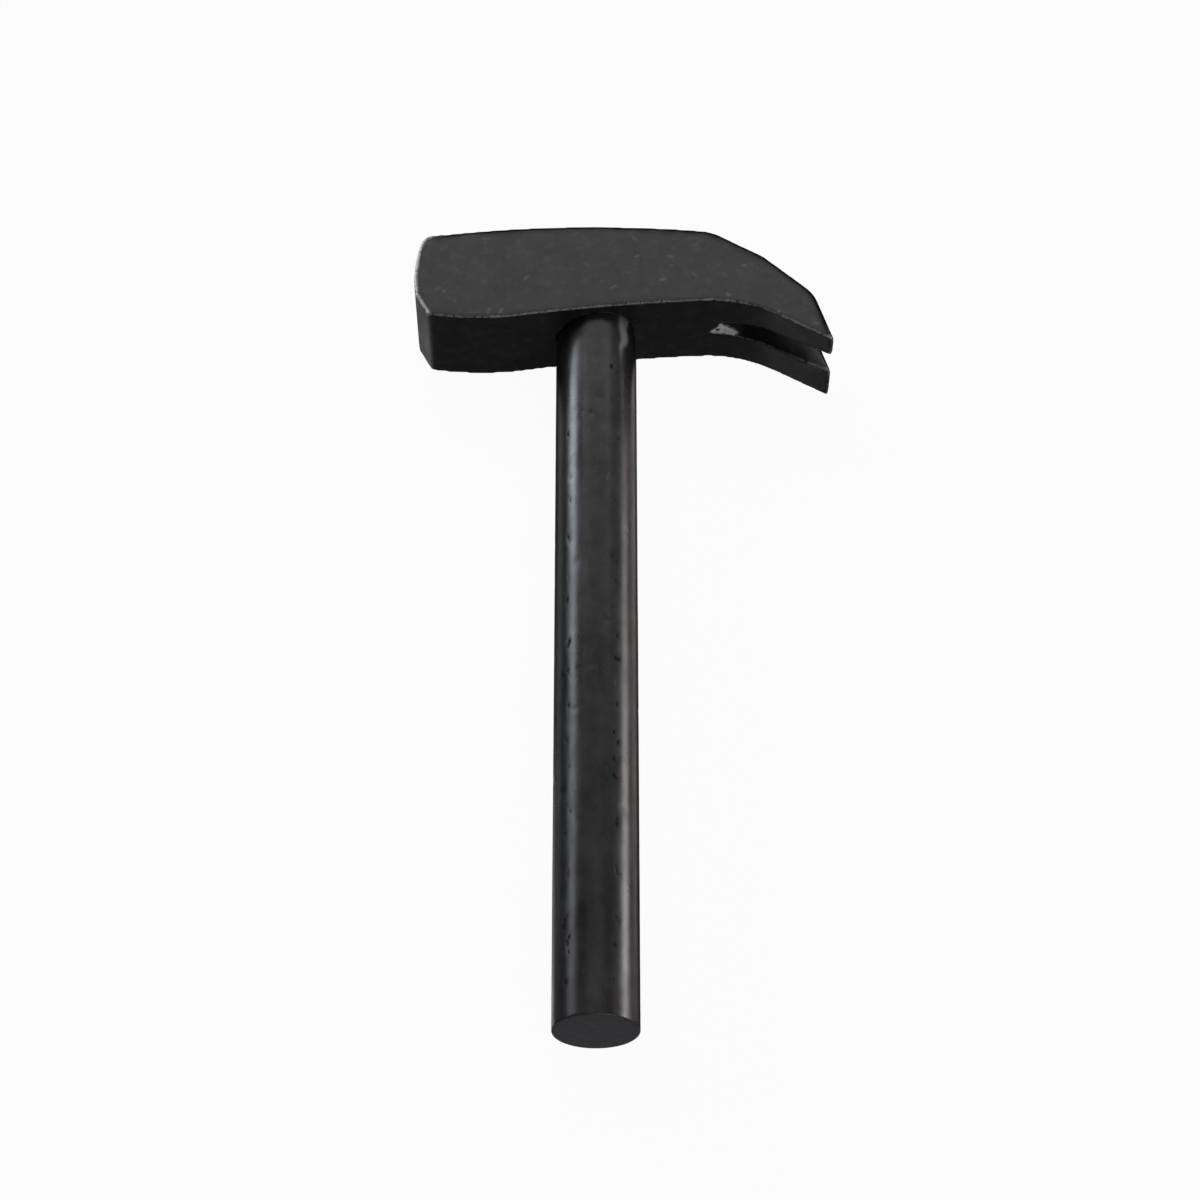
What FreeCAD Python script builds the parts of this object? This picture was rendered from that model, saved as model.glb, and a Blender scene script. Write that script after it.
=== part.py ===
"""Blacksmith's claw hammer: a forged head on a round wooden handle.

Frame: the hammer lies on one cheek. +X runs along the head from the striking face to the
claw, +Y runs up the handle from its butt to the head, +Z points from the lower cheek to the
upper one. The origin is on the lower cheek, under the centre of the eye. Millimetres.

The head is one flat-sided forging with an hourglass eye. The handle's tenon fills the eye,
and a wooden wedge and two steel wedges, driven in from the top of the head, spread it.
"""

import FreeCAD, Part
import os
import Sketcher
from FreeCAD import Placement, Rotation, Vector

SIZES = {
    # head
    "cheek_to_cheek": 33.8,
    "face_crown_radius": 50.0,
    "face_corner_radius": 4.7,
    "top_crown_radius": 375.0,
    "shoulder_radius": 16.5,
    "claw_back_radius": 11.6,
    "claw_tip_radius": 0.7,
    "throat_radius": 48.0,
    "underside_radius": 624.0,
    "belly_radius": 111.0,
    "worn_edge_radius": 1.2,
    # eye and tenon: radii, and places along the handle's axis
    "eye_mouth_radius": 13.2,
    "eye_waist_radius": 11.0,
    "eye_top_radius": 11.8,
    "eye_cut_end": -24.0,
    "eye_mouth_end": -19.0,
    "eye_waist_end": -6.8,
    "tenon_end": 17.7,
    # handle
    "handle_radius": 13.5,
    "handle_butt": -270.0,
    "neck_start": -32.0,
    "neck_radius": 200.0,
    # wedges, driven in from the tenon's end
    "wooden_thick_end": 4.0,
    "wooden_thin_end": 1.0,
    "wooden_width": 26.0,
    "steel_thick_end": 2.2,
    "steel_thin_end": 0.5,
    "steel_width": 14.0,
    "steel_depth": 15.0,
    "steel_spacing": 10.0,
}

# The head's outline in the plane of its cheeks, clockwise from the top of the striking face.
# Each row is a corner, its X and Y, and the edge from it to the next corner: straight, or an
# arc of the named radius that bulges out of the metal or into it.
HEAD_OUTLINE = [
    ("face_top", -59.5, 8.5, "face_corner_radius", "out"),
    ("crown_front", -54.8, 12.75, "top_crown_radius", "out"),
    ("crown_back", 36.2, 14.75, "shoulder_radius", "out"),
    ("shoulder_end", 42.9, 12.25, None, None),
    ("claw_nape", 56.5, 4.2, None, None),
    ("claw_back", 70.8, -8.8, "claw_back_radius", "out"),
    ("claw_end", 74.0, -13.9, None, None),
    ("tip_top", 79.0, -29.0, "claw_tip_radius", "out"),
    ("tip_bottom", 78.1, -29.8, None, None),
    ("throat_end", 60.5, -19.85, "throat_radius", "in"),
    ("throat_start", 38.0, -13.95, "underside_radius", "in"),
    ("belly_back", -28.7, -20.6, "belly_radius", "out"),
    ("belly_front", -56.3, -19.75, None, None),
    ("face_bottom", -60.6, -11.9, "face_crown_radius", "out"),
]

# The claw's slot as seen along the handle: X, and the height above the plane midway between
# the cheeks. The root is cut askew, and the slot runs out past the claw's tip.
CLAW_SLOT = [
    ("slot_root_upper", 42.0, 2.9, None, None),
    ("slot_bend_upper", 57.0, 5.3, None, None),
    ("slot_mouth_upper", 82.0, 6.5, None, None),
    ("slot_mouth_lower", 82.0, -1.8, None, None),
    ("slot_bend_lower", 67.0, -3.3, None, None),
    ("slot_root_lower", 50.0, -3.3, None, None),
]

# Turned shapes, as half profiles beside the handle's axis, clockwise from the tenon's end.
# Each row names the cell of a corner's radius, or None on the axis, the cell of its place
# along the axis, and the edge to the next corner.
EYE_PROFILE = [
    (None, "tenon_end", None, None),
    ("eye_top_radius", "tenon_end", None, None),
    ("eye_waist_radius", "eye_waist_end", None, None),
    ("eye_mouth_radius", "eye_mouth_end", None, None),
    ("eye_mouth_radius", "eye_cut_end", None, None),
    (None, "eye_cut_end", None, None),
]
HANDLE_PROFILE = [
    (None, "tenon_end", None, None),
    ("eye_top_radius", "tenon_end", None, None),
    ("eye_waist_radius", "eye_waist_end", None, None),
    ("eye_mouth_radius", "eye_mouth_end", "neck_radius", "out"),
    ("handle_radius", "neck_start", None, None),
    ("handle_radius", "handle_butt", None, None),
    (None, "handle_butt", None, None),
]

ORIGIN, START, END = -1, 1, 2  # Sketcher's numbers for its root point and an edge's ends
Y_AXIS = -2

doc = FreeCAD.newDocument("BlacksmithHammer")
sheet = doc.addObject("Spreadsheet::Sheet", "Sizes")


def fill_sheet():
    """The driving dimensions, one aliased cell each."""
    values = dict(SIZES)
    for corner, x, y, _, _ in HEAD_OUTLINE + CLAW_SLOT:
        values[corner + "_x"] = x
        values[corner + "_y"] = y
    for row, (alias, value) in enumerate(values.items(), start=1):
        sheet.set(f"A{row}", alias.replace("_", " "))
        sheet.set(f"B{row}", str(value))
        sheet.setAlias(f"B{row}", alias)
    doc.recompute()


def size(alias):
    return float(sheet.get(alias)) if alias else 0.0


def named_rows(corners):
    """A plan outline's rows, with each corner's place given by its two cells."""
    return [(c + "_x", c + "_y", radius, bulge) for c, _, _, radius, bulge in corners]


def arc_between(start, end, radius, bulge):
    """The shorter arc of this radius between two corners of a clockwise outline."""
    chord = end - start
    outward = Vector(-chord.y, chord.x, 0).normalize()
    rise = radius - (radius**2 - (chord.Length / 2) ** 2) ** 0.5
    return Part.Arc(start, start + chord / 2 + outward * (rise if bulge == "out" else -rise), end)


def constrain(sketch, cell, kind, *where):
    """A dimension that follows one of the sheet's cells."""
    index = sketch.addConstraint(Sketcher.Constraint(kind, *where, size(cell)))
    sketch.setExpression(f"Constraints[{index}]", f"Sizes.{cell}")


def draw_outline(sketch, rows):
    """A closed clockwise outline of straight edges and arcs, fixed by the sheet's cells."""
    corners = [Vector(size(x), size(y), 0) for x, y, _, _ in rows]
    edges = []
    for i, (_, _, radius, bulge) in enumerate(rows):
        start, end = corners[i], corners[(i + 1) % len(rows)]
        if radius is None:
            edges.append((sketch.addGeometry(Part.LineSegment(start, end), False), START, END))
            continue
        edge = sketch.addGeometry(arc_between(start, end, size(radius), bulge), False)
        reversed_arc = (sketch.getPoint(edge, START) - start).Length > 1e-6
        edges.append((edge, END, START) if reversed_arc else (edge, START, END))
        constrain(sketch, radius, "Radius", edge)
    for i, (x, y, _, _) in enumerate(rows):
        edge, start, end = edges[i]
        next_edge, next_start, _ = edges[(i + 1) % len(rows)]
        sketch.addConstraint(Sketcher.Constraint("Coincident", edge, end, next_edge, next_start))
        constrain(sketch, y, "DistanceY", ORIGIN, START, edge, start)
        if x is None:
            sketch.addConstraint(Sketcher.Constraint("PointOnObject", edge, start, Y_AXIS))
        else:
            constrain(sketch, x, "DistanceX", ORIGIN, START, edge, start)


def new_sketch(body, name, plane_role, mid_offset=None):
    """A sketch on one of the body's origin planes. mid_offset is the sketch's own direction
    that points up, along which it moves to the plane midway between the cheeks."""
    sketch = body.newObject("Sketcher::SketchObject", name)
    plane = next(o for o in body.Origin.OriginFeatures if o.Role == plane_role)
    sketch.AttachmentSupport = [(plane, "")]
    sketch.MapMode = "FlatFace"
    if mid_offset:
        sketch.setExpression(f"AttachmentOffset.Base.{mid_offset}", "Sizes.cheek_to_cheek / 2")
    return sketch


def cheek_edges(shape, height):
    """Names of the crown's and the claw back's edges on the cheek at this height."""
    names = []
    for i, edge in enumerate(shape.Edges, start=1):
        middle = edge.valueAt((edge.FirstParameter + edge.LastParameter) / 2)
        above = middle.x > size("crown_front_x") and middle.y > size("claw_end_y")
        if above and all(abs(v.Z - height) < 1e-6 for v in edge.Vertexes):
            names.append(f"Edge{i}")
    return names


def must_shrink(before, after):
    """A cut that points away from the metal removes nothing, without an error."""
    if not after.Shape.Volume < before.Shape.Volume - 1:
        raise RuntimeError(f"{after.Name} removes no metal")


def make_head():
    body = doc.addObject("PartDesign::Body", "hammer_head")
    outline = new_sketch(body, "HeadOutline", "XY_Plane")
    draw_outline(outline, named_rows(HEAD_OUTLINE))
    forging = body.newObject("PartDesign::Pad", "Forging")
    forging.Profile = outline
    forging.setExpression("Length", "Sizes.cheek_to_cheek")
    doc.recompute()

    worn = body.newObject("PartDesign::Fillet", "WornEdges")
    lower = cheek_edges(forging.Shape, 0)
    upper = cheek_edges(forging.Shape, size("cheek_to_cheek"))
    worn.Base = (forging, lower + upper)
    worn.setExpression("Radius", "Sizes.worn_edge_radius")
    doc.recompute()
    must_shrink(forging, worn)

    slot_outline = new_sketch(body, "SlotOutline", "XZ_Plane", mid_offset="y")
    draw_outline(slot_outline, named_rows(CLAW_SLOT))
    slot = body.newObject("PartDesign::Pocket", "ClawSlot")
    slot.Profile = slot_outline
    slot.Type = "ThroughAll"
    slot.Midplane = True
    doc.recompute()
    must_shrink(worn, slot)

    eye_profile = new_sketch(body, "EyeProfile", "XY_Plane", mid_offset="z")
    draw_outline(eye_profile, EYE_PROFILE)
    eye = body.newObject("PartDesign::Groove", "Eye")
    eye.Profile = eye_profile
    eye.ReferenceAxis = (eye_profile, ["V_Axis"])
    eye.Angle = 360
    doc.recompute()
    must_shrink(slot, eye)
    body.Tip = eye
    return body


def make_handle_blank():
    """The handle as it comes off the lathe, before its tenon is split for the wedges."""
    body = doc.addObject("PartDesign::Body", "HandleBlank")
    profile = new_sketch(body, "HandleProfile", "XY_Plane", mid_offset="z")
    draw_outline(profile, HANDLE_PROFILE)
    turned = body.newObject("PartDesign::Revolution", "Turned")
    turned.Profile = profile
    turned.ReferenceAxis = (profile, ["V_Axis"])
    turned.Angle = 360
    body.Tip = turned
    doc.recompute()
    return body


def make_wedge(name, thin, thick, deep_end):
    """A wedge whose thick end is flush with the tenon's end. thin and thick are expressions
    for its X and Z sizes at the deep end and at the thick end."""
    wedge = doc.addObject("Part::Wedge", name)
    for axis, at_thin, at_thick in zip("XZ", thin, thick):
        wedge.setExpression(f"{axis}min", f"-({at_thin}) / 2")
        wedge.setExpression(f"{axis}max", f"({at_thin}) / 2")
        wedge.setExpression(f"{axis}2min", f"-({at_thick}) / 2")
        wedge.setExpression(f"{axis}2max", f"({at_thick}) / 2")
    wedge.setExpression("Ymin", deep_end)
    wedge.setExpression("Ymax", "Sizes.tenon_end")
    wedge.setExpression("Placement.Base.z", "Sizes.cheek_to_cheek / 2")
    return wedge


def make_eye_taper():
    """The upper, widening half of the eye, which gives the wooden wedge its rounded ends."""
    taper = doc.addObject("Part::Cone", "EyeTaper")
    taper.setExpression("Radius1", "Sizes.eye_waist_radius")
    taper.setExpression("Radius2", "Sizes.eye_top_radius")
    taper.setExpression("Height", "Sizes.tenon_end - Sizes.eye_waist_end")
    taper.Placement = Placement(Vector(), Rotation(Vector(0, 0, 1), Vector(0, 1, 0)))
    taper.setExpression("Placement.Base.y", "Sizes.eye_waist_end")
    taper.setExpression("Placement.Base.z", "Sizes.cheek_to_cheek / 2")
    return taper


def make_steel_wedge(name, side):
    """One of the two wedges across the wooden one, at side -1 or 1 of the handle's axis."""
    width = "Sizes.steel_width"
    wedge = make_wedge(
        name,
        ("Sizes.steel_thin_end", width),
        ("Sizes.steel_thick_end", width),
        "Sizes.tenon_end - Sizes.steel_depth",
    )
    wedge.setExpression("Placement.Base.x", f"{side} * Sizes.steel_spacing / 2")
    return wedge


def cut(name, base, tools):
    """base without the tools, which stay whole."""
    group = doc.addObject("Part::MultiFuse", name + "_cutters")
    group.Shapes = tools
    result = doc.addObject("Part::Cut", name)
    result.Base = base
    result.Tool = group
    return result


fill_sheet()
head = make_head()
steel_wedges = [make_steel_wedge("steel_wedge_1", -1), make_steel_wedge("steel_wedge_2", 1)]

width = "Sizes.wooden_width"
kerf = make_wedge(
    "Kerf",
    (width, "Sizes.wooden_thin_end"),
    (width, "Sizes.wooden_thick_end"),
    "Sizes.eye_waist_end",
)
rounded_wedge = doc.addObject("Part::Common", "RoundedWedge")
rounded_wedge.Base = make_eye_taper()
rounded_wedge.Tool = kerf
wooden_wedge = cut("wooden_wedge", rounded_wedge, steel_wedges)
handle = cut("handle", make_handle_blank(), [kerf, *steel_wedges])
doc.recompute()

subparts = [head, handle, wooden_wedge, *steel_wedges]
for subpart in subparts:
    subpart.Label = subpart.Name

failed = [o.Name for o in doc.Objects if "Invalid" in o.State or "Error" in o.State]
failed += [s.Label for s in subparts if s.Shape.isNull() or not s.Shape.isValid()]
if failed:
    raise RuntimeError(f"failed objects: {failed}")

os.makedirs("parts", exist_ok=True)
for subpart in subparts:
    subpart.Shape.exportStep(f"parts/{subpart.Label}.step")
    print(subpart.Label, len(subpart.Shape.Solids), round(subpart.Shape.Volume, 1))
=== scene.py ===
"""Looks for the blacksmith's claw hammer: dense meshes with worn edges, dents and pits, and
procedural materials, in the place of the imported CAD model. Metres, in the frame's axes."""

import itertools
import math

import bmesh
import bpy
import numpy as np
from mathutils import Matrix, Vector


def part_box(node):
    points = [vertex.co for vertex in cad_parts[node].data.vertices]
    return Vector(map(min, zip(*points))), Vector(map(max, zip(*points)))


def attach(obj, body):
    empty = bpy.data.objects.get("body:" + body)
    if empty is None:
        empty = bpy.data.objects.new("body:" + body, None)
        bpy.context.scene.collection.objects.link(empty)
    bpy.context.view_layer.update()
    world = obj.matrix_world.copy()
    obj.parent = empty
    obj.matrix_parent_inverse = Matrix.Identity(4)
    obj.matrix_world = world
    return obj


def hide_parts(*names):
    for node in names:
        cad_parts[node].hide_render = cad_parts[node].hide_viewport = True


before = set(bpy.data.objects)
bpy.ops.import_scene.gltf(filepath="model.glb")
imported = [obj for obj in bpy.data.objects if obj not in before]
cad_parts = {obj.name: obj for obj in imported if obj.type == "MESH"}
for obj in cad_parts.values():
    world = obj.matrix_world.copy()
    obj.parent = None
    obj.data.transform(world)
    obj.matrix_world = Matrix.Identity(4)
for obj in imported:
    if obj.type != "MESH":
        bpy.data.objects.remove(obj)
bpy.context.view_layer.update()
MM = 0.001

# ---------------------------------------------------------------- sizes from the frame
head_low, head_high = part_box("hammer_head")
handle_low, handle_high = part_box("handle")
MID = (head_low.z + head_high.z) / 2
GRIP_RADIUS = (handle_high.x - handle_low.x) / 2
BUTT = handle_low.y
TENON_END = handle_high.y

# ---------------------------------------------------------------- drawings, in millimetres
# The head's outline, as in the design: X, Y and radius, clockwise from the top of the striking
# face. A row with a radius leads to the next corner by an arc, which bulges out of the metal
# or, if the radius is negative, into it.
HEAD_OUTLINE = [
    (-59.5, 8.5, 4.7),
    (-54.8, 12.75, 375.0),
    (36.2, 14.75, 16.5),
    (42.9, 12.25, None),
    (56.5, 4.2, None),
    (70.8, -8.8, 11.6),
    (74.0, -13.9, None),
    (79.0, -29.0, 0.7),
    (78.1, -29.8, None),
    (60.5, -19.85, -48.0),
    (38.0, -13.95, -624.0),
    (-28.7, -20.6, 111.0),
    (-56.3, -19.75, None),
    (-60.6, -11.9, 50.0),
]
# The claw's slot: X, and height above the middle plane. Three corners on its upper wall, then
# three on its lower wall.
CLAW_SLOT = [(42.0, 2.9), (57.0, 5.3), (82.0, 6.5), (82.0, -1.8), (67.0, -3.3), (50.0, -3.3)]
# The eye: radius, and place along the handle's axis.
EYE_PROFILE = [(11.8, 17.7), (11.0, -6.8), (13.2, -19.0), (13.2, -24.0)]
NECK_START = -32.0
NECK_RADIUS = 200.0


def arc_points(start, end, radius, step):
    """Points from start, up to but not including end, about step apart."""
    chord = end - start
    if radius is None:
        count = max(1, round(chord.length / step))
        return [start + chord * (i / count) for i in range(count)]
    bulge = 1 if radius > 0 else -1
    radius = abs(radius)
    outward = Vector((-chord.y, chord.x)).normalized() * bulge
    half = chord.length / 2
    centre = start + chord / 2 - outward * math.sqrt(radius**2 - half**2)
    turn = -2 * bulge * math.asin(half / radius)
    count = max(2, round(abs(turn) * radius / step))
    spoke = start - centre
    points = []
    for i in range(count):
        cos, sin = math.cos(turn * i / count), math.sin(turn * i / count)
        turned = Vector((spoke.x * cos - spoke.y * sin, spoke.x * sin + spoke.y * cos))
        points.append(centre + turned)
    return points


def outline_points(rows, step):
    """Points all the way round an outline of corners, each with the radius of its edge."""
    points = []
    for i, (x, y, radius) in enumerate(rows):
        following = rows[(i + 1) % len(rows)]
        points += arc_points(Vector((x, y)), Vector(following[:2]), radius, step)
    return points


# ------------------------------------------------------------------------- mesh helpers
def link(name, mesh):
    piece = bpy.data.objects.new(name, mesh)
    bpy.context.scene.collection.objects.link(piece)
    return piece


def mesh_from_bmesh(name, bm):
    bmesh.ops.recalc_face_normals(bm, faces=bm.faces)
    mesh = bpy.data.meshes.new(name)
    bm.to_mesh(mesh)
    bm.free()
    return mesh


def prism(name, outline, place, low, high):
    """A closed prism: place(a, b, t) puts an outline point at one end of its length."""
    bm = bmesh.new()
    ends = [[bm.verts.new(place(a, b, t)) for a, b in outline] for t in (low, high)]
    bm.faces.new(ends[0])
    bm.faces.new(ends[1])
    count = len(outline)
    for i in range(count):
        j = (i + 1) % count
        bm.faces.new((ends[0][i], ends[0][j], ends[1][j], ends[1][i]))
    return mesh_from_bmesh(name, bm)


def lathe(name, profile, around):
    """A closed turned solid about the handle's axis. Profile: (radius, y), in metres, with its
    first and last points on the axis."""
    bm = bmesh.new()
    rings = []
    for radius, y in profile:
        if radius == 0:
            rings.append([bm.verts.new((0, y, MID))])
            continue
        angles = [2 * math.pi * i / around for i in range(around)]
        ring = [(radius * math.cos(a), y, MID + radius * math.sin(a)) for a in angles]
        rings.append([bm.verts.new(point) for point in ring])
    for one, two in zip(rings, rings[1:]):
        for i in range(around):
            j = (i + 1) % around
            corners = (one[i % len(one)], one[j % len(one)], two[j % len(two)], two[i % len(two)])
            bm.faces.new(list(dict.fromkeys(corners)))
    return mesh_from_bmesh(name, bm)


def apply_modifiers(piece):
    depsgraph = bpy.context.evaluated_depsgraph_get()
    mesh = bpy.data.meshes.new_from_object(piece.evaluated_get(depsgraph))
    piece.modifiers.clear()
    piece.data = mesh


def subtract(piece, cutter_meshes):
    cutters = [link("cutter", mesh) for mesh in cutter_meshes]
    for cutter in cutters:
        boolean = piece.modifiers.new("cut", "BOOLEAN")
        boolean.operation = "DIFFERENCE"
        boolean.object = cutter
        boolean.solver = "EXACT"
    apply_modifiers(piece)
    for cutter in cutters:
        bpy.data.objects.remove(cutter)


def voxel_remesh(piece, size):
    remesh = piece.modifiers.new("remesh", "REMESH")
    remesh.mode = "VOXEL"
    remesh.voxel_size = size
    remesh.adaptivity = 0
    apply_modifiers(piece)


def coordinates(mesh):
    points = np.empty(len(mesh.vertices) * 3, np.float32)
    mesh.vertices.foreach_get("co", points)
    return points.reshape(-1, 3).astype(float)


def set_coordinates(mesh, points):
    mesh.vertices.foreach_set("co", points.astype(np.float32).ravel())
    mesh.update()


def normals(mesh):
    values = np.empty(len(mesh.vertices) * 3, np.float32)
    mesh.vertices.foreach_get("normal", values)
    return values.reshape(-1, 3).astype(float)


def smoothed(mesh, points, weight, rounds):
    """Points moved towards the average of their neighbours, by weight, rounds times."""
    edges = np.empty(len(mesh.edges) * 2, np.int32)
    mesh.edges.foreach_get("vertices", edges)
    one, two = edges.reshape(-1, 2).T
    count = len(points)
    degree = np.bincount(one, minlength=count) + np.bincount(two, minlength=count)
    for _ in range(rounds):
        total = np.zeros_like(points)
        for axis in range(points.shape[1]):
            total[:, axis] = np.bincount(one, points[two, axis], count)
            total[:, axis] += np.bincount(two, points[one, axis], count)
        points = points + weight[:, None] * (total / degree[:, None] - points)
    return points


def step_between(low, high, value):
    t = np.clip((value - low) / (high - low), 0, 1)
    return t * t * (3 - 2 * t)


# ------------------------------------------------------------------------------- randomness
LATTICE_SIZE = 32
rng = np.random.default_rng(7)
LATTICE = rng.random((LATTICE_SIZE, LATTICE_SIZE, LATTICE_SIZE))


def lattice_noise(points, scale):
    """Smooth noise from 0 to 1, with features about scale metres across."""
    place = points / scale + 100.0
    cell = np.floor(place).astype(int)
    t = place - cell
    t = t * t * (3 - 2 * t)
    total = np.zeros(len(points))
    for corner in itertools.product((0, 1), repeat=3):
        i, j, k = ((cell + corner) % LATTICE_SIZE).T
        share = np.abs(1 - np.array(corner) - t).prod(axis=1)
        total += LATTICE[i, j, k] * share
    return total


def add_attribute(mesh, name, values):
    attribute = mesh.attributes.new(name, "FLOAT", "POINT")
    attribute.data.foreach_set("value", values.astype(np.float32))


# ------------------------------------------------------------------------- marks of use
def dent_depth(points, centres, radii, depths):
    """How deep each point lies in the deepest of the round dents over it."""
    total = np.zeros(len(points))
    for centre, radius, depth in zip(centres, radii, depths):
        gap = np.sum((points - centre) ** 2, axis=1) / radius**2
        total = np.maximum(total, depth * np.exp(-gap))
    return total


def scratch_marks(points, starts, ends, width):
    """0 off the scratches, and up to 1 on them, some fainter than others."""
    marks = np.zeros(len(points))
    for start, end in zip(starts, ends):
        along = end - start
        t = np.clip((points - start) @ along / (along @ along), 0, 1)
        gap = np.linalg.norm(points - start - t[:, None] * along, axis=1)
        fainter = rng.uniform(0.2, 1)
        marks = np.maximum(marks, fainter * (1 - step_between(width * 0.4, width * 1.8, gap)))
    return marks


def clip_to_box(points, low, high):
    for axis in range(3):
        points[:, axis] = np.clip(points[:, axis], low[axis], high[axis])
    return points


# --------------------------------------------------------------------------------- the head
HEAD_VOXEL = 0.5 * MM
# How far the slot's cutter runs past the underside and the crown.
OVERRUN = 10 * MM
# The triangular cut by a chisel where the claw's slot starts: X, height above the middle
# plane, and how far it is sunk below the underside there.
ROOT_CUT = [(37.8, -2.6, 0.0), (42.3, 3.3, 0.7), (51.0, -3.4, 0.8)]
ROOT_CUT_RUNOUT = 6
# The dark pit in that triangle: X, and height above the middle plane.
ROOT_PIT = (41.1, -0.5)
UNDERSIDE_AT_ROOT = -14.6
# The range of Y in which the triangle can be bare.
BARED_SKIN = (-16.5, -13.0)
# X, and the lowest Y of what counts as the crown or the claw's back.
CROWN_LIMIT = [(-52, -12), (60, -10), (70.8, -14), (74, -19), (79, -30)]
CROWN_START = -52
# The X up to which an edge counts as the striking face's.
FACE_EDGE = -55.5
# The corner under the striking face, which has been knocked blunt.
BLUNT_CORNER = (-56.3, -19.75)
SLOT_ROOT = 40.5
AHEAD_OF_SLOT = 9
# The lowest Y of the painted light on the slot's lower wall near its mouth.
MOUTH_LIGHT_BOTTOM = -28.5
DENTS = 90
SCRATCHES = 60


def root_cut_mesh():
    """A wedge that takes the sliver off the underside at the slot's root."""
    bm = bmesh.new()
    top = [(x * MM, (UNDERSIDE_AT_ROOT + sunk) * MM, MID + z * MM) for x, z, sunk in ROOT_CUT]
    inner = [bm.verts.new(point) for point in top]
    outer = [bm.verts.new((x, y - ROOT_CUT_RUNOUT * MM, z)) for x, y, z in top]
    bm.faces.new(inner)
    bm.faces.new(outer)
    for i in range(3):
        j = (i + 1) % 3
        bm.faces.new((inner[i], inner[j], outer[j], outer[i]))
    return mesh_from_bmesh("root_cut", bm)


def root_cut_mask(points, facing):
    """1 on the bared triangle, 0 off it, with a ragged border."""
    flat = np.stack([points[:, 0] / MM, (points[:, 2] - MID) / MM], axis=1)
    corners = np.array([(x, z) for x, z, _ in ROOT_CUT])
    inside = np.full(len(points), 10.0)
    for i in range(3):
        one, two = corners[i], corners[(i + 1) % 3]
        edge = (two - one) / np.linalg.norm(two - one)
        inside = np.minimum(inside, (flat - one) @ np.array([edge[1], -edge[0]]))
    inside += (lattice_noise(points, 1.2 * MM) - 0.5) * 0.9
    height = points[:, 1] / MM
    near_skin = (height > BARED_SKIN[0]) & (height < BARED_SKIN[1])
    off_pit = np.linalg.norm(flat - np.array(ROOT_PIT), axis=1)
    downwards = step_between(0.75, 0.9, -facing[:, 1])
    fading = step_between(53, 43, flat[:, 0]) * near_skin * downwards
    return step_between(-0.1, 0.4, inside) * fading * step_between(0.55, 1.0, off_pit)


def make_head():
    outline = [(p.x * MM, p.y * MM) for p in outline_points(HEAD_OUTLINE, 0.7)]
    head = link("head", prism("head", outline, lambda a, b, t: (a, b, t), head_low.z, head_high.z))
    slot_outline = [(x * MM, MID + z * MM) for x, z in CLAW_SLOT]
    past_underside, past_crown = head_low.y - OVERRUN, head_high.y + OVERRUN
    slot = prism("slot", slot_outline, lambda a, b, t: (a, t, b), past_underside, past_crown)
    profile = [(r * MM, y * MM) for r, y in EYE_PROFILE]
    eye = lathe("eye", [(0, profile[0][1]), *profile, (0, profile[-1][1])], 128)
    subtract(head, [slot, eye, root_cut_mesh()])
    voxel_remesh(head, HEAD_VOXEL)
    wear_head(head.data)
    return head


def slot_distance(points):
    """How far in millimetres each point is, across the head, from the slot's side walls. Points
    ahead of the slot count as further away."""
    x, z = points[:, 0] / MM, (points[:, 2] - MID) / MM
    upper_x, upper_z = zip(*CLAW_SLOT[:3])
    lower_x, lower_z = zip(*reversed(CLAW_SLOT[3:]))
    to_upper = np.abs(z - np.interp(x, upper_x, upper_z))
    to_lower = np.abs(z - np.interp(x, lower_x, lower_z))
    return np.minimum(to_upper, to_lower) + AHEAD_OF_SLOT * (x < upper_x[0])


def crown_distance(points):
    """How far in millimetres each point is, along the cheek, from the head's upper outline."""
    upper = [p for p in outline_points(HEAD_OUTLINE, 1.5) if p.x > -54 and p.y > min(-10, 50 - p.x)]
    gap = np.full(len(points), 1e6)
    for corner in upper:
        gap = np.minimum(gap, np.hypot(points[:, 0] / MM - corner.x, points[:, 1] / MM - corner.y))
    return gap


def on_crown(points):
    """Whether each point belongs to the crown or the claw's back."""
    x, lowest = np.array(CROWN_LIMIT).T * MM
    return (points[:, 1] > np.interp(points[:, 0], x, lowest)) & (points[:, 0] > CROWN_START * MM)


def soften_head(mesh, sharp, crown, to_cheek):
    """The head's points with its edges rounded, most of all along the crown, at the slot's
    mouth and at the blunt corner, and which of them belong to that corner."""
    irregular = 0.35 + 0.3 * lattice_noise(sharp, 6 * MM)
    soft = smoothed(mesh, sharp, irregular, 4)
    soft = smoothed(mesh, soft, np.where(crown & (to_cheek < 2.5 * MM), irregular, 0.0), 8)
    mouth = step_between(62, 76, sharp[:, 0] / MM) * (slot_distance(sharp) < 2.2)
    soft = smoothed(mesh, soft, 0.5 * mouth, 14)
    corner_x, corner_y = BLUNT_CORNER
    off_corner = np.hypot(soft[:, 0] - corner_x * MM, soft[:, 1] - corner_y * MM)
    blunt = (off_corner < 2.4 * MM) & (to_cheek > 1.2 * MM)
    return smoothed(mesh, soft, 0.5 * blunt, 16), blunt


def cheek_scratches(points, to_cheek):
    """Starts and ends of short scratches on the cheeks, most of them along the head."""
    cheeks = np.flatnonzero(to_cheek < 0.2 * MM)
    starts = points[rng.choice(cheeks, SCRATCHES)]
    turns = rng.normal(0, 0.8, SCRATCHES)
    lengths = rng.uniform(0.3, 2.2, SCRATCHES) * MM
    along = np.stack([np.cos(turns), np.sin(turns), turns * 0], axis=1)
    return starts, starts + along * lengths[:, None]


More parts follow.
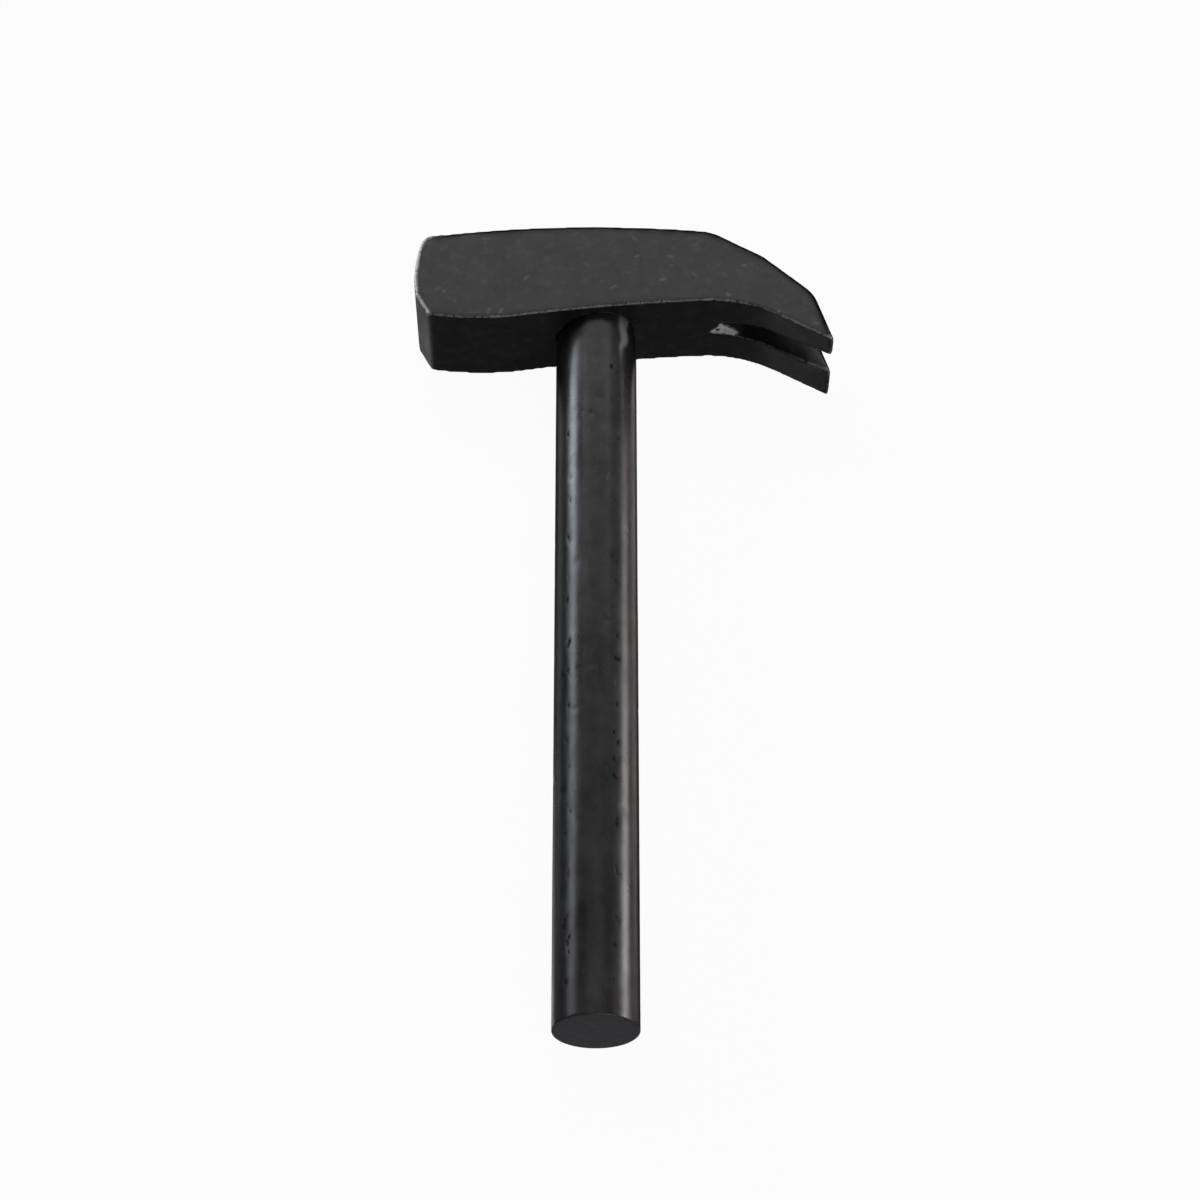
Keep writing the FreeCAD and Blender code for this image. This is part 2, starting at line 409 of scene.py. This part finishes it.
def rubbed_edges(points, rounding, crown, blunt):
    """How far the black is rubbed off: most on the face's edge, least along the crown."""
    x = points[:, 0] / MM
    face = (x < FACE_EDGE) & ~blunt
    in_slot = slot_distance(points) < 2
    slot_wear = 1.2 - 0.7 * step_between(60, 70, x)
    wear = np.where(crown, 0.2, np.where(face, 5.0, np.where(in_slot, slot_wear, 1.6))) * ~blunt
    return np.clip(rounding * wear, 0, 1)


def painted_shade(points, facing, rounding, crown, to_cheek):
    """Where shade is painted in, near black and duller: along the crown's edges and deep in the slot's
    root, fading out towards its mouth.
    """
    x = points[:, 0] / MM
    # Painted shade: a ragged dark band along the crown's edges, and on the rounded crown itself.
    ragged = crown_distance(points) + 1.2 * lattice_noise(points, 4 * MM)
    shade_band = step_between(4.2, 0.8, ragged) * (to_cheek < 2 * MM)
    crown_shade = np.maximum(step_between(0.05, 0.4, rounding) * crown, 0.85 * shade_band)
    # Painted shade on the slot's side walls, where the prongs shut out the light.
    in_slot = (x > SLOT_ROOT) & (np.abs(facing[:, 1]) < 0.6) & (to_cheek > 8 * MM)
    return np.maximum(crown_shade, 0.8 * step_between(70, 58, x) * in_slot)


def painted_light_at_mouth(points):
    """Painted light on the slot's lower wall near its mouth, lighter towards the mouth."""
    height = points[:, 2] - MID
    lower_wall = (height > -4.5 * MM) & (height < 0) & (points[:, 1] > MOUTH_LIGHT_BOTTOM * MM)
    return step_between(69, 75, points[:, 0] / MM) * lower_wall


def wear_head(mesh):
    sharp = coordinates(mesh)
    to_cheek = np.minimum(sharp[:, 2] - head_low.z, head_high.z - sharp[:, 2])
    crown = on_crown(sharp)
    soft, blunt = soften_head(mesh, sharp, crown, to_cheek)
    set_coordinates(mesh, soft)
    normal = normals(mesh)
    sunk = np.einsum("ij,ij->i", sharp - soft, normal) / (0.3 * MM)
    rounding = smoothed(mesh, sunk[:, None], np.full(len(soft), 0.6), 3)[:, 0]
    forging = lattice_noise(soft, 17 * MM) * 0.09 + lattice_noise(soft + 3, 6 * MM) * 0.04
    picked = soft[rng.integers(0, len(soft), DENTS)]
    radii = rng.uniform(0.6, 2.2, DENTS) * MM
    dents = dent_depth(soft, picked, radii, rng.uniform(0.02, 0.10, DENTS))
    starts, ends = cheek_scratches(soft, to_cheek)
    add_attribute(mesh, "edge", rubbed_edges(soft, rounding, crown, blunt))
    # The scale attribute holds painted shade, along the crown's edges and in the slot's root.
    add_attribute(mesh, "scale", painted_shade(soft, normal, rounding, crown, to_cheek))
    # Painted light on the slot's lower wall near its mouth.
    add_attribute(mesh, "flare", painted_light_at_mouth(soft))
    add_attribute(mesh, "bare", root_cut_mask(soft, normal))
    add_attribute(mesh, "scratch", scratch_marks(soft, starts, ends, 0.35 * MM))
    points = soft - normal * ((forging + dents) * MM)[:, None]
    set_coordinates(mesh, clip_to_box(points, head_low, head_high))
    mesh.shade_smooth()


# -------------------------------------------------------------------------------- the handle
HANDLE_STEP = 0.55 * MM
EDGE_ROUND = 0.35 * MM
# Degrees around the handle, from the claw's side upwards, of the rows of pores.
PORE_ROWS = (62, 132, 215, 300)
# The Y below which the grip is worn the most.
WORN_GRIP = -110


def handle_profile():
    """Half profile from the butt's centre to the tenon's centre."""
    eye_top, eye_waist, eye_mouth = [Vector((r * MM, y * MM)) for r, y in EYE_PROFILE[:3]]
    neck = Vector((GRIP_RADIUS, NECK_START * MM))
    corners = [
        (Vector((0, BUTT)), None),
        (Vector((GRIP_RADIUS - EDGE_ROUND, BUTT)), -EDGE_ROUND),
        (Vector((GRIP_RADIUS, BUTT + EDGE_ROUND)), None),
        (neck, -NECK_RADIUS * MM),
        (eye_mouth, None),
        (eye_waist, None),
        (Vector((eye_top.x - EDGE_ROUND, TENON_END)), None),
        (Vector((0, TENON_END)), None),
    ]
    points = []
    for (start, radius), (end, _) in zip(corners, corners[1:]):
        points += arc_points(start, end, radius, HANDLE_STEP)
    points.append(corners[-1][0])
    return [(max(0.0, p.x), p.y) for p in points]


def pore_places():
    """Middles of the pores that opened in the wood, in clusters, in rows along the grain. They
    are fewer and further apart where the grip is worn less."""
    middles = []
    for angle in PORE_ROWS:
        y = rng.uniform(-40, -30)
        while y > BUTT / MM + 8:
            for _ in range(rng.integers(1, 3 if y > WORN_GRIP else 5)):
                turn = math.radians(angle + rng.normal(0, 3))
                along = (y + rng.normal(0, 1.3)) * MM
                across, up = GRIP_RADIUS * math.cos(turn), GRIP_RADIUS * math.sin(turn)
                middles.append((across, along, MID + up))
            y -= rng.uniform(14, 34) if y > WORN_GRIP else rng.uniform(6, 16)
    return np.array(middles)


def pore_depth(points):
    """1 in the middle of the deepest pores, which are twice as long as they are wide."""
    shortened = np.array([1, 0.5, 1])
    pores = pore_places() * shortened
    radii = rng.uniform(0.3, 0.65, len(pores)) * MM
    return dent_depth(points * shortened, pores, radii, rng.uniform(0.5, 1, len(pores)))


def handle_scratches(points):
    """Starts and ends of short scratches on the handle, most of them along it."""
    grip = np.flatnonzero(points[:, 1] < NECK_START * MM)
    starts = points[rng.choice(grip, SCRATCHES)]
    any_way = rng.normal(0, 0.5, (SCRATCHES, 3)) * MM
    along = np.array([0, 1, 0]) * rng.normal(0, 1.5, (SCRATCHES, 1)) * MM
    return starts, starts + any_way + along


def add_collar_and_highlight(mesh, points):
    """The duller collar under the head, and a painted highlight on it, on the claw's side just under the
    head.
    """
    ragged = points[:, 1] / MM + 3 * lattice_noise(points, 4 * MM)
    add_attribute(mesh, "collar", step_between(-31, -20, ragged))
    # Painted highlight: a lighter streak on the claw's side of the neck, narrower and fading further down
    # from the head.
    turned = np.degrees(np.arctan2(points[:, 2] - MID, points[:, 0]))
    turned = turned + 8 * lattice_noise(points, 5 * MM)
    rim = 17 - points[:, 1] / MM
    wear_and_highlight = step_between(0, 8, turned - rim) * step_between(61, 54, turned)
    add_attribute(mesh, "rub", wear_and_highlight * step_between(-38, -22, ragged))


def make_handle():
    handle = link("haft", lathe("haft", handle_profile(), 160))
    wedges = ["wooden_wedge", "steel_wedge_1", "steel_wedge_2"]
    subtract(handle, [cad_mesh(name) for name in wedges])
    mesh = handle.data
    points = coordinates(mesh)
    normal = normals(mesh)
    along_grain = points * np.array([1, 0.25, 1])
    turning = lattice_noise(along_grain, 9 * MM) * 0.05 + lattice_noise(points + 5, 4 * MM) * 0.03
    pits = pore_depth(points)
    picked = points[rng.integers(0, len(points), DENTS)]
    radii = rng.uniform(0.6, 1.8, DENTS) * MM
    dents = dent_depth(points, picked, radii, rng.uniform(0.02, 0.08, DENTS))
    starts, ends = handle_scratches(points)
    y = points[:, 1]
    add_attribute(mesh, "pit", pits)
    add_attribute(mesh, "scratch", scratch_marks(points, starts, ends, 0.22 * MM))
    add_attribute(mesh, "butt", step_between(BUTT + 0.3 * MM, BUTT + 0.1 * MM, y))
    add_attribute(mesh, "end", step_between(TENON_END - 0.6 * MM, TENON_END - 0.2 * MM, y))
    add_collar_and_highlight(mesh, points)
    # The kerf's walls move less, to stay clear of the wedges.
    from_axis = np.hypot(points[:, 0], points[:, 2] - MID)
    kerf = (from_axis < GRIP_RADIUS * 0.4) & (y > 0)
    depth = (turning + dents + pits * 0.10) * np.where(kerf, 0.4, 1.0)
    points = points - normal * (depth * MM)[:, None]
    set_coordinates(mesh, clip_to_box(points, handle_low, handle_high))
    mesh.shade_smooth()
    return handle


# -------------------------------------------------------------------------------- the wedges
def cad_mesh(name):
    """A copy, in the frame's place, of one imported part's mesh."""
    node = bpy.data.objects[name]
    mesh = node.data.copy()
    mesh.transform(node.matrix_world)
    return mesh


def make_wedge(name, voxel, hammered):
    """A wedge with rounded edges, its top hammered down by up to so many millimetres."""
    wedge = link(name + "_worn", cad_mesh(name))
    low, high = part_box(name)
    voxel_remesh(wedge, voxel)
    mesh = wedge.data
    points = coordinates(mesh)
    soft = smoothed(mesh, points, np.full(len(points), 0.5), 2)
    set_coordinates(mesh, soft)
    normal = normals(mesh)
    on_top = step_between(high.y - 0.8 * MM, high.y - 0.2 * MM, soft[:, 1])
    blows = lattice_noise(soft, 2.2 * MM) * hammered
    points = soft - normal * ((blows * on_top + 0.02) * MM)[:, None]
    set_coordinates(mesh, clip_to_box(points, low, high))
    mesh.shade_smooth()
    return wedge


# --------------------------------------------------------------------------------- materials
class Paint:
    """A procedural material with a few shorthands for its nodes."""

    def __init__(self, name):
        self.material = bpy.data.materials.new(name)
        self.material.use_nodes = True
        self.nodes = self.material.node_tree.nodes
        self.links = self.material.node_tree.links
        self.shader = self.nodes["Principled BSDF"]
        self.place = self.nodes.new("ShaderNodeTexCoord").outputs["Object"]

    def put(self, socket, value):
        """Gives an input a plain value, or another node's output."""
        if isinstance(value, bpy.types.NodeSocket):
            self.links.new(value, socket)
        else:
            socket.default_value = value

    def noise(self, size_mm, detail=4.0, stretch=(1, 1, 1)):
        """Noise with features of about this size, longer along the axes with a low stretch."""
        mapping = self.nodes.new("ShaderNodeMapping")
        self.links.new(self.place, mapping.inputs["Vector"])
        mapping.inputs["Scale"].default_value = stretch
        texture = self.nodes.new("ShaderNodeTexNoise")
        self.links.new(mapping.outputs["Vector"], texture.inputs["Vector"])
        texture.inputs["Scale"].default_value = 1000 / size_mm
        texture.inputs["Detail"].default_value = detail
        texture.inputs["Roughness"].default_value = 0.6
        return texture.outputs["Fac"]

    def attribute(self, name):
        node = self.nodes.new("ShaderNodeAttribute")
        node.attribute_name = name
        return node.outputs["Fac"]

    def ramp(self, value, low, high, to_low=0.0, to_high=1.0):
        node = self.nodes.new("ShaderNodeMapRange")
        node.clamp = True
        values = (value, low, high, to_low, to_high)
        for name, part in zip(("Value", "From Min", "From Max", "To Min", "To Max"), values):
            self.put(node.inputs[name], part)
        return node.outputs["Result"]

    def maths(self, operation, one, two):
        node = self.nodes.new("ShaderNodeMath")
        node.operation = operation
        node.use_clamp = True
        self.put(node.inputs[0], one)
        self.put(node.inputs[1], two)
        return node.outputs["Value"]

    def blend(self, factor, one, two):
        """One colour where the factor is 0, the other where it is 1."""
        node = self.nodes.new("ShaderNodeMix")
        node.data_type = "RGBA"
        self.put(node.inputs["Factor"], factor)
        self.put(node.inputs["A"], (*one, 1) if isinstance(one, tuple) else one)
        self.put(node.inputs["B"], (*two, 1) if isinstance(two, tuple) else two)
        return node.outputs["Result"]

    def bump(self, height, strength, distance_mm):
        node = self.nodes.new("ShaderNodeBump")
        self.put(node.inputs["Height"], height)
        node.inputs["Strength"].default_value = strength
        node.inputs["Distance"].default_value = distance_mm * MM
        self.links.new(node.outputs["Normal"], self.shader.inputs["Normal"])

    def finish(self, colour, roughness, metallic):
        self.put(self.shader.inputs["Base Color"], colour)
        self.put(self.shader.inputs["Roughness"], roughness)
        self.put(self.shader.inputs["Metallic"], metallic)
        return self.material


def black_steel():
    paint = Paint("black_steel")
    mottle = paint.noise(9, 5)
    smudge = paint.ramp(paint.noise(3.2, 3), 0.52, 0.70)
    grit = paint.noise(0.35, 2)
    skin = paint.blend(paint.ramp(mottle, 0.3, 0.7), (0.0055, 0.0055, 0.0058), (0.0115, 0.0115, 0.0112))
    skin = paint.blend(paint.maths("MULTIPLY", smudge, 0.55), skin, (0.034, 0.034, 0.033))
    scratches = paint.maths("MULTIPLY", paint.attribute("scratch"), 0.8)
    skin = paint.blend(scratches, skin, (0.095, 0.095, 0.093))
    wear_and_highlight = paint.maths("MULTIPLY", paint.attribute("edge"), paint.ramp(paint.noise(1.6, 3), 0.16, 0.50))
    wear_and_highlight = paint.ramp(wear_and_highlight, 0.25, 1.15, 0.0, 0.66)
    bare = paint.maths("MAXIMUM", wear_and_highlight, paint.attribute("bare"))
    metal = paint.blend(paint.ramp(paint.noise(0.8, 3), 0.35, 0.6), (0.60, 0.59, 0.58), (0.98, 0.97, 0.95))
    # Painted light: a paler, mottled patch on the slot's lower wall near its mouth.
    flare = paint.maths("MULTIPLY", paint.attribute("flare"), paint.ramp(mottle, 0.35, 0.6, 0.4, 1.0))
    skin = paint.blend(flare, skin, (0.065, 0.064, 0.063))
    # Painted shade: near black paint with low specular where the scale attribute says, along the crown's
    # edges and in the slot's root.
    scale = paint.attribute("scale")
    skin = paint.blend(scale, skin, (0.004, 0.004, 0.004))
    colour = paint.blend(bare, skin, metal)
    paint.put(paint.shader.inputs["Specular IOR Level"], paint.ramp(scale, 0, 1, 0.5, 0.05))
    satin = paint.ramp(mottle, 0.3, 0.7, 0.50, 0.40)
    roughness = paint.maths("MAXIMUM", satin, paint.maths("MULTIPLY", scale, 0.9))
    paint.bump(grit, 0.25, 0.05)
    return paint.finish(colour, roughness, paint.maths("MULTIPLY", bare, 0.35))


def black_wood():
    paint = Paint("black_wood")
    grain = paint.noise(1.1, 4, (1, 0.06, 1))
    cloud = paint.noise(14, 4, (1, 0.5, 1))
    lacquer = paint.blend(paint.ramp(grain, 0.35, 0.65), (0.0085, 0.0088, 0.0098), (0.0150, 0.0146, 0.0145))
    patches = paint.ramp(paint.noise(8, 4, (1, 0.6, 1)), 0.40, 0.62)
    lacquer = paint.blend(patches, (0.0045, 0.0045, 0.0050), lacquer)
    scratches = paint.maths("MULTIPLY", paint.attribute("scratch"), 0.5)
    lacquer = paint.blend(scratches, lacquer, (0.075, 0.074, 0.072))
    pit = paint.ramp(paint.attribute("pit"), 0.25, 0.6)
    lacquer = paint.blend(pit, lacquer, (0.004, 0.004, 0.004))
    # Painted highlight: lighter lacquer on the claw's side just under the head.
    lacquer = paint.blend(paint.attribute("rub"), lacquer, (0.165, 0.160, 0.155))
    rings = paint.noise(0.9, 5, (1, 0.05, 1))
    cut = paint.blend(paint.ramp(rings, 0.35, 0.65), (0.018, 0.013, 0.010), (0.060, 0.043, 0.030))
    end = paint.attribute("end")
    # The butt's end face is coloured lighter than the grip, in a mottle.
    lighter_butt = paint.blend(paint.noise(2.5, 4), (0.028, 0.027, 0.030), (0.100, 0.096, 0.103))
    lacquer = paint.blend(paint.attribute("butt"), lacquer, lighter_butt)
    colour = paint.blend(end, lacquer, cut)
    collar = paint.attribute("collar")
    sheen = paint.ramp(paint.noise(6, 4, (1, 0.6, 1)), 0.36, 0.60, 0.38, 0.52)
    paint.put(paint.shader.inputs["Specular IOR Level"], paint.ramp(pit, 0, 1, sheen, 0.08))
    dull = paint.maths("MAXIMUM", end, pit)
    gloss = paint.ramp(cloud, 0.3, 0.7, 0.245, 0.355)
    roughness = paint.maths("MAXIMUM", gloss, paint.maths("MULTIPLY", dull, 0.6))
    roughness = paint.maths("ADD", roughness, paint.maths("MULTIPLY", collar, 0.1))
    paint.bump(grain, 0.12, 0.05)
    return paint.finish(colour, roughness, 0.0)


def wedge_wood():
    paint = Paint("wedge_wood")
    rings = paint.noise(0.7, 5, (0.25, 0.2, 1))
    pores = paint.ramp(paint.noise(0.3, 2), 0.60, 0.68)
    colour = paint.blend(paint.ramp(rings, 0.35, 0.65), (0.035, 0.022, 0.013), (0.110, 0.070, 0.042))
    colour = paint.blend(pores, colour, (0.012, 0.008, 0.005))
    paint.bump(rings, 0.4, 0.1)
    return paint.finish(colour, paint.ramp(rings, 0.3, 0.7, 0.75, 0.55), 0.0)


def wedge_steel():
    paint = Paint("wedge_steel")
    cloud = paint.noise(2.0, 5)
    rust = paint.ramp(paint.noise(1.1, 4), 0.58, 0.70)
    colour = paint.blend(paint.ramp(cloud, 0.3, 0.7), (0.16, 0.155, 0.15), (0.36, 0.35, 0.34))
    colour = paint.blend(rust, colour, (0.050, 0.030, 0.020))
    paint.bump(paint.noise(0.25, 2), 0.3, 0.05)
    return paint.finish(colour, paint.ramp(cloud, 0.3, 0.7, 0.55, 0.38), paint.ramp(rust, 0, 1, 0.95, 0.2))


def give(piece, material):
    piece.data.materials.clear()
    piece.data.materials.append(material)


def place_piece(piece, material, node):
    """Lets a piece stand in for one of the frame's nodes."""
    give(piece, material)
    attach(piece, "root")
    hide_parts(node)


# ------------------------------------------------------------------------------- the pieces
place_piece(make_head(), black_steel(), "hammer_head")
handle = make_handle()
place_piece(handle, black_wood(), "handle")
place_piece(make_wedge("wooden_wedge", 0.28 * MM, 0.35), wedge_wood(), "wooden_wedge")
steel = wedge_steel()
for wedge_name in ("steel_wedge_1", "steel_wedge_2"):
    place_piece(make_wedge(wedge_name, 0.22 * MM, 0.25), steel, wedge_name)

# ------------------------------------------------------------------------- camera and studio
AIM = Vector((1.25 * MM, -120.05 * MM, MID))
CAMERA_DISTANCE = 1.0987
CAMERA_LENS = 102.1
CAMERA_ELEVATION = math.radians(60)
LAMP_DISTANCE = 2
STUDIO_RADIUS = 7


def make_camera():
    data = bpy.data.cameras.new("camera")
    data.lens = CAMERA_LENS
    data.sensor_width = 36
    camera = bpy.data.objects.new("camera", data)
    back = Vector((0, -math.cos(CAMERA_ELEVATION), math.sin(CAMERA_ELEVATION)))
    camera.location = AIM + back * CAMERA_DISTANCE
    camera.rotation_euler = (math.pi / 2 - CAMERA_ELEVATION, 0, 0)
    bpy.context.scene.collection.objects.link(camera)
    bpy.context.scene.camera = camera


def backdrop(piece, glow, base):
    """Shows a plain pale surface to the camera alone, so it adds nothing to the lighting."""
    paint = Paint(piece.name)
    paint.shader.inputs["Specular IOR Level"].default_value = 0.0
    paint.shader.inputs["Emission Color"].default_value = (1, 0.997, 1, 1)
    paint.shader.inputs["Emission Strength"].default_value = glow
    give(piece, paint.finish((base, base, base, 1), 1.0, 0.0))
    piece.visible_glossy = False
    piece.visible_diffuse = False
    piece.visible_shadow = False


def make_floor():
    bm = bmesh.new()
    bmesh.ops.create_circle(bm, cap_ends=True, segments=128, radius=STUDIO_RADIUS)
    floor = link("floor", mesh_from_bmesh("floor", bm))
    backdrop(floor, 0.955, 0.03)
    bm = bmesh.new()
    bmesh.ops.create_uvsphere(bm, u_segments=64, v_segments=32, radius=STUDIO_RADIUS)
    dome = link("dome", mesh_from_bmesh("dome", bm))
    dome.data.shade_smooth()
    backdrop(dome, 0.96, 0.0)


def softbox(name, around, lean, size, radiance, colour=(1, 1, 1)):
    """A rectangular lamp, seen from the hammer at this brightness. It stands this many degrees
    around the handle's axis, from straight above towards the claw's side, and leans this many
    degrees towards the head's end."""
    data = bpy.data.lights.new(name, "AREA")
    data.shape = "RECTANGLE"
    data.size, data.size_y = size
    data.energy = radiance * math.pi * size[0] * size[1]
    data.color = colour
    lamp = bpy.data.objects.new(name, data)
    turn, rise = math.radians(around), math.radians(lean)
    across = Vector((math.sin(turn), 0, math.cos(turn)))
    towards = across * math.cos(rise) + Vector((0, math.sin(rise), 0))
    lamp.location = AIM + towards * LAMP_DISTANCE
    lamp.rotation_euler = towards.to_track_quat("Z", "Y").to_euler()
    bpy.context.scene.collection.objects.link(lamp)
    return lamp


def light_only(lamp, piece):
    """Lights this piece alone with a lamp, which would glare on the head's cheek as seen from
    the face's side."""
    receivers = bpy.data.collections.new(lamp.name + "_receivers")
    receivers.objects.link(piece)
    lamp.light_linking.receiver_collection = receivers


def make_world():
    world = bpy.data.worlds.new("studio")
    world.use_nodes = True
    background = world.node_tree.nodes["Background"]
    background.inputs["Color"].default_value = (0.03, 0.03, 0.03, 1)
    bpy.context.scene.world = world


make_camera()
make_floor()
make_world()
softbox("back", 0, 42, (2.4, 0.8), 0.8, (1.01, 0.99, 1.0))
softbox("back_high", 0, 52, (2.4, 0.7), 1.9, (1.02, 0.99, 1.0))
softbox("top", 0, 12, (1.6, 0.6), 0.95, (1.08, 0.96, 1.02))
softbox("left", -70, 45, (0.9, 0.7), 9.6, (0.93, 1.0, 1.10))
softbox("left_low", -67, 22, (0.9, 0.6), 2.35)
softbox("left_far", -120, 30, (0.7, 0.7), 0.4)
light_only(softbox("right", 79, 10, (0.65, 0.6), 14, (1.06, 0.98, 1.02)), handle)
softbox("right_near", 52, 30, (1.0, 0.9), 0.42)
softbox("right_mid", 85, 25, (0.6, 0.6), 4.2, (1.08, 0.98, 0.95))
softbox("right_far", 125, 30, (0.8, 0.8), 0.7, (1.12, 0.97, 0.97))
softbox("front", 30, -50, (1.4, 1.4), 2.1)
softbox("below", 180, -20, (0.9, 0.9), 0.12, (1.05, 0.95, 1.15))
softbox("below_low", -143, -18, (0.7, 0.6), 0.85)
softbox("below_left", -150, 12, (0.8, 0.8), 0.9)
bpy.context.scene.view_settings.view_transform = "Standard"
